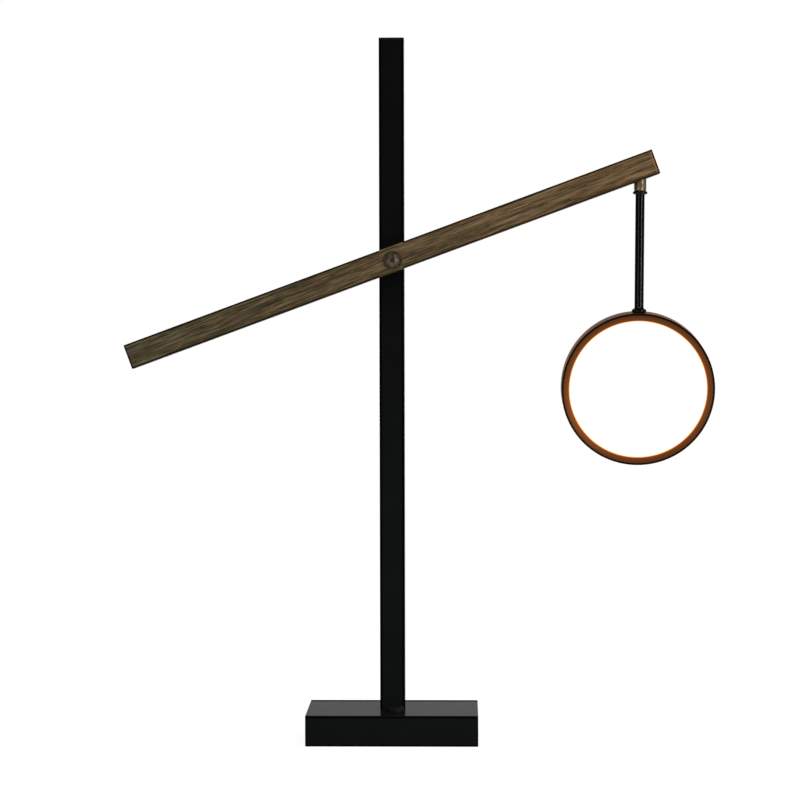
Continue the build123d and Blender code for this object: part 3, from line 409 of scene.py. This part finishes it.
def opal():
    """Lit opal sheet, cream at its rim."""
    white = srgb(250, 248, 244)
    look = Look("opal", white, 0.45, specular=0.1)
    radius = look.in_light()[0]
    glow = look.ramp(
        look.rise(radius, light_opening - 0.0038, light_opening + 0.0004),
        [
            (0.0, srgb(255, 255, 255)),
            (0.45, srgb(255, 246, 226)),
            (0.75, srgb(250, 214, 170)),
            (1.0, srgb(228, 150, 80)),
        ],
    )
    look.put("Emission Color", glow)
    look.put("Emission Strength", 1.0)
    rim = look.rise(radius, light_opening - 0.0028, light_opening - 0.0003)
    look.put("Base Color", look.blend(rim, white, srgb(90, 60, 34)))
    return look.material


def grained(name, color, darker, roughness, scale, metallic=0.0, specular=0.5, depth=0.00002):
    """A plain material with a fine grain in its colour, sheen and surface."""
    color, darker = srgb(*color), srgb(*darker)
    look = Look(name, color, roughness, metallic, specular)
    grain = look.noise(look.coords(), scale=scale, detail=3)
    look.put("Base Color", look.ramp(grain, [(noise_low, darker), (noise_high, color)]))
    look.put("Roughness", look.spread(grain, roughness - 0.06, roughness + 0.06))
    look.bump(grain, 0.25, depth)
    return look.material


looks = {
    "black_steel": satin_black(),
    "brown_arm": brown_arm(),
    "bronze": bronze(),
    "bronze_dark": light_bronze(),
    "gloss_black": gloss_black(),
    "opal": opal(),
}

# Name, colour, colour of the darker grains, roughness, scale of the grain, and the rest
plain_looks = (
    ("black_plastic", (20, 20, 20), (13, 13, 13), 0.5, 2200, {"specular": 0.12}),
    ("black_rubber", (24, 24, 24), (15, 15, 15), 0.7, 1800, {"specular": 0.15}),
    ("felt", (34, 34, 35), (18, 18, 19), 0.95, 1100, {"specular": 0.05, "depth": 0.0002}),
    ("iron", (72, 72, 72), (46, 46, 46), 0.65, 900, {"metallic": 0.6, "depth": 0.0001}),
    ("zinc_steel", (176, 176, 172), (150, 150, 148), 0.35, 1500, {"metallic": 0.9}),
    ("friction_fibre", (30, 29, 27), (18, 18, 17), 0.8, 2500, {"specular": 0.1}),
    ("bush_plastic", (214, 208, 196), (204, 198, 186), 0.45, 900, {}),
    ("lead_sheath", (24, 24, 24), (17, 17, 17), 0.5, 1500, {"specular": 0.2}),
    ("white_plastic", (238, 238, 234), (230, 230, 226), 0.4, 1200, {}),
    ("board_white", (232, 232, 226), (222, 222, 216), 0.5, 1200, {}),
    ("diode", (240, 214, 130), (226, 196, 110), 0.3, 1500, {}),
)
for name, color, darker, roughness, scale, rest in plain_looks:
    looks[name] = grained(name, color, darker, roughness, scale, **rest)

for row in frame["record"]["subparts"]:
    piece = nodes_by_name[row["node"]]
    piece.data.materials.clear()
    piece.data.materials.append(looks[row["material_slot"]])

# Camera: place in metres, turns in radians and lens in millimetres, solved from the photograph
camera_place = (0.0740394, -2.7274735, 0.4520539)
yaw, pitch, roll = -0.0241691, 0.0353432, 0.0021843
ahead = Vector(
    (math.sin(yaw) * math.cos(pitch), math.cos(yaw) * math.cos(pitch), -math.sin(pitch))
)
level_right = Vector((math.cos(yaw), -math.sin(yaw), 0))
level_down = ahead.cross(level_right)
camera_right = level_right * math.cos(roll) + level_down * math.sin(roll)
camera_down = level_down * math.cos(roll) - level_right * math.sin(roll)
camera_data = bpy.data.cameras.new("camera")
camera_data.sensor_width = 36
camera_data.lens = 117.408
camera_data.clip_start = 0.05
camera_data.clip_end = 100
camera = bpy.data.objects.new("camera", camera_data)
camera_turn = Matrix((camera_right, -camera_down, -ahead)).transposed()
camera.matrix_world = Matrix.Translation(camera_place) @ camera_turn.to_4x4()
bpy.context.scene.collection.objects.link(camera)
bpy.context.scene.camera = camera

# Two upright strip lights, in front of the object on either side
strip_target = (0.15, 0, 0.4)
strip_width = 0.24


def strip(name, place, height, power):
    """An upright strip light that faces the target."""
    data = bpy.data.lights.new(name, "AREA")
    data.shape = "RECTANGLE"
    data.size = strip_width
    data.size_y = height
    data.energy = power
    light = bpy.data.objects.new(name, data)
    light.location = place
    aim = Vector(strip_target) - Vector(place)
    light.rotation_mode = "QUATERNION"
    light.rotation_quaternion = aim.to_track_quat("-Z", "Y")
    bpy.context.scene.collection.objects.link(light)


strip("key", place=(1.95, -1.85, 0.9), height=1.4, power=31)
strip("fill", place=(-1.25, -2.15, 0.9), height=1.3, power=10)

# World: white to the camera. In reflections it is white behind the object and dim on the
# camera's side, and the light that it casts is a level half of white.
reflected_front, reflected_back = 0.16, 1.0
front_ends, back_starts = 0.75, 0.97
cast_light = 0.5
world = bpy.data.worlds.new("world")
bpy.context.scene.world = world
sky = Nodes(world)
sky.tree.nodes.clear()


def white_sky(strength):
    """A white world of a given strength."""
    feed = {"Color": (1, 1, 1, 1), "Strength": strength}
    return sky.node("ShaderNodeBackground", feed).outputs[0]


def either_sky(factor, first, second):
    """The first world where factor is 0, the second where it is 1."""
    return sky.node("ShaderNodeMixShader", {0: factor, 1: first, 2: second}).outputs[0]


ray = sky.node("ShaderNodeLightPath").outputs
toward_back = sky.split(sky.node("ShaderNodeTexCoord").outputs["Generated"])["Y"]
reflected = sky.span(toward_back, front_ends, back_starts, reflected_front, reflected_back)
lighting = either_sky(ray["Is Glossy Ray"], white_sky(cast_light), white_sky(reflected))
seen = sky.math("MAXIMUM", ray["Is Camera Ray"], ray["Is Transmission Ray"])
sky.node("ShaderNodeOutputWorld", {"Surface": either_sky(seen, lighting, white_sky(1.0))})

# Floor: pale, lifted to white where it is lit, so that only the shadow shows
floor_half = 8.0
floor_height = -0.0003
floor_tone = 0.3
floor_lift = 0.87
corners = [(-1, -1), (1, -1), (1, 1), (-1, 1)]
floor_mesh = bpy.data.meshes.new("floor")
floor_mesh.from_pydata(
    [(x * floor_half, y * floor_half, floor_height) for x, y in corners], [], [(0, 1, 2, 3)]
)
floor = bpy.data.objects.new("floor", floor_mesh)
bpy.context.scene.collection.objects.link(floor)
floor_material = bpy.data.materials.new("floor")
ground = Nodes(floor_material)
ground.tree.nodes.clear()
ray = ground.node("ShaderNodeLightPath").outputs
seen = ground.math("MAXIMUM", ray["Is Camera Ray"], ray["Is Glossy Ray"])
lift = ground.node("ShaderNodeEmission", {"Strength": ground.math("MULTIPLY", seen, floor_lift)})
matte = ground.node("ShaderNodeBsdfDiffuse", {"Color": (floor_tone, floor_tone, floor_tone, 1)})
surface = ground.node("ShaderNodeAddShader", {0: matte.outputs[0], 1: lift.outputs[0]})
ground.node("ShaderNodeOutputMaterial", {"Surface": surface.outputs[0]})
floor_mesh.materials.append(floor_material)

bpy.context.scene.view_settings.view_transform = "Standard"
